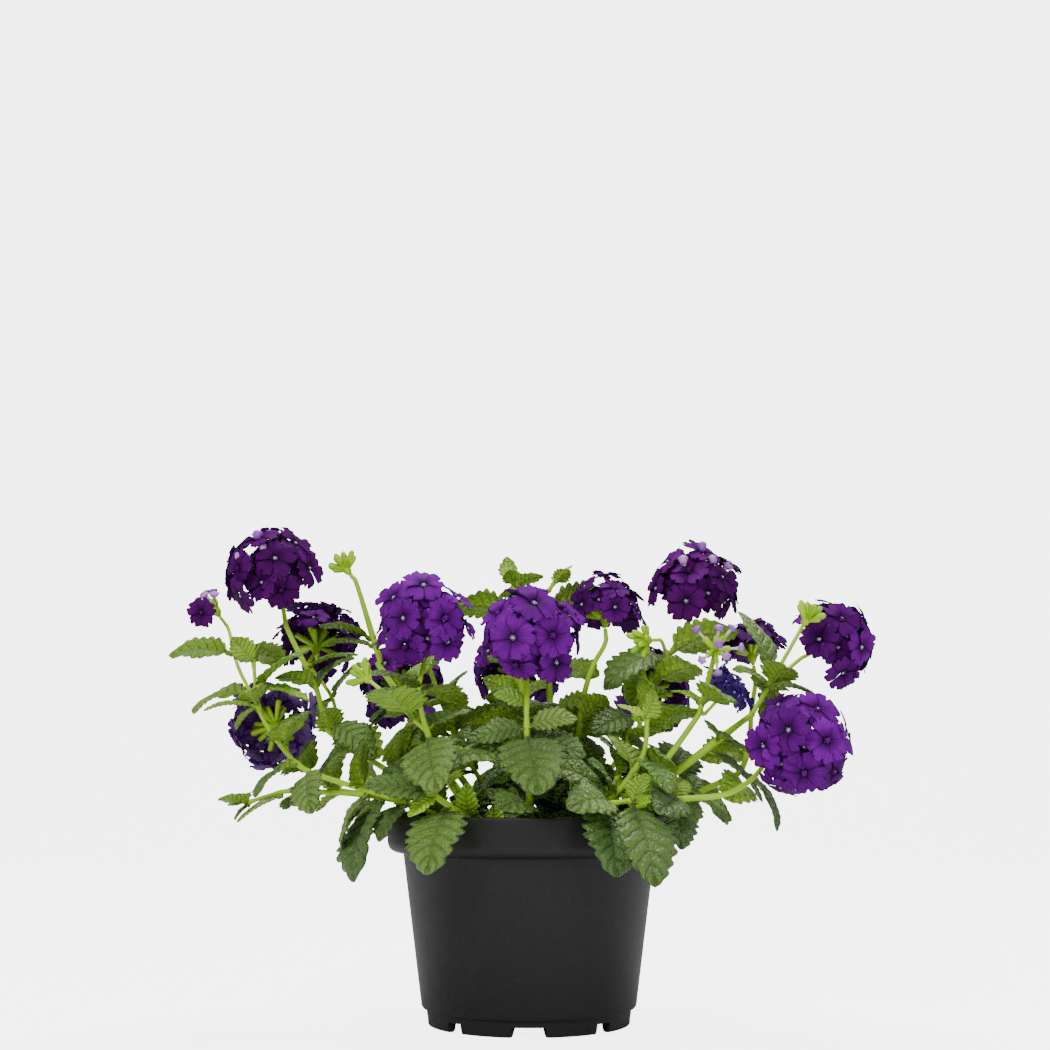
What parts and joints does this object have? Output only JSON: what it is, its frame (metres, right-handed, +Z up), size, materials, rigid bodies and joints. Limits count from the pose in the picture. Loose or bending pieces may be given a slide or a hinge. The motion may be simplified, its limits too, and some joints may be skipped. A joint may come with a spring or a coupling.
{
  "type": "potted verbena plant",
  "caption": "Bushy verbena with toothed leaves and rounded violet flower heads, growing in a round black nursery pot.",
  "frame": {"origin": "centre of the pot's foot, on the surface it stands on", "axes": "+Z up along the pot's axis, +X towards the right of the picture, where the plant spreads widest, -Y towards the picture's viewer"},
  "size_m": [0.3222, 0.1796, 0.2223],
  "materials": {
    "pot_plastic": "satin",
    "peat": "matte",
    "leaf": "matte",
    "petal": "matte"
  },
  "bodies": {
    "root": {"head_back_mid": "petal", "head_front_left": "petal", "head_front_mid": "petal", "head_left_back": "petal", "head_left_bud": "petal", "head_left_low": "petal", "head_left_top": "petal", "head_rear_left": "petal", "head_rear_mid": "petal", "head_rear_right": "petal", "head_right_back": "petal", "head_right_far": "petal", "head_right_low": "petal", "head_right_top": "petal", "head_right_wilted": "petal", "pot": "pot_plastic", "soil": "peat", "stem_back_mid": "leaf", "stem_bud_tall": "leaf", "stem_front_left": "leaf", "stem_front_mid": "leaf", "stem_left": "leaf", "stem_left_flat": "leaf", "stem_left_tall": "leaf", "stem_rear_flat_left": "leaf", "stem_rear_flat_right": "leaf", "stem_rear_left": "leaf", "stem_rear_mid": "leaf", "stem_rear_right": "leaf", "stem_rear_rim": "leaf", "stem_right_far": "leaf", "stem_right_flat": "leaf", "stem_right_low": "leaf", "stem_right_shoot": "leaf", "stem_right_star": "leaf", "stem_right_top": "leaf", "stem_rim_left": "leaf", "stem_rim_right": "leaf", "stem_shoot_high": "leaf", "stem_top_left": "leaf", "stem_top_right": "leaf"}
  },
  "joints": []
}
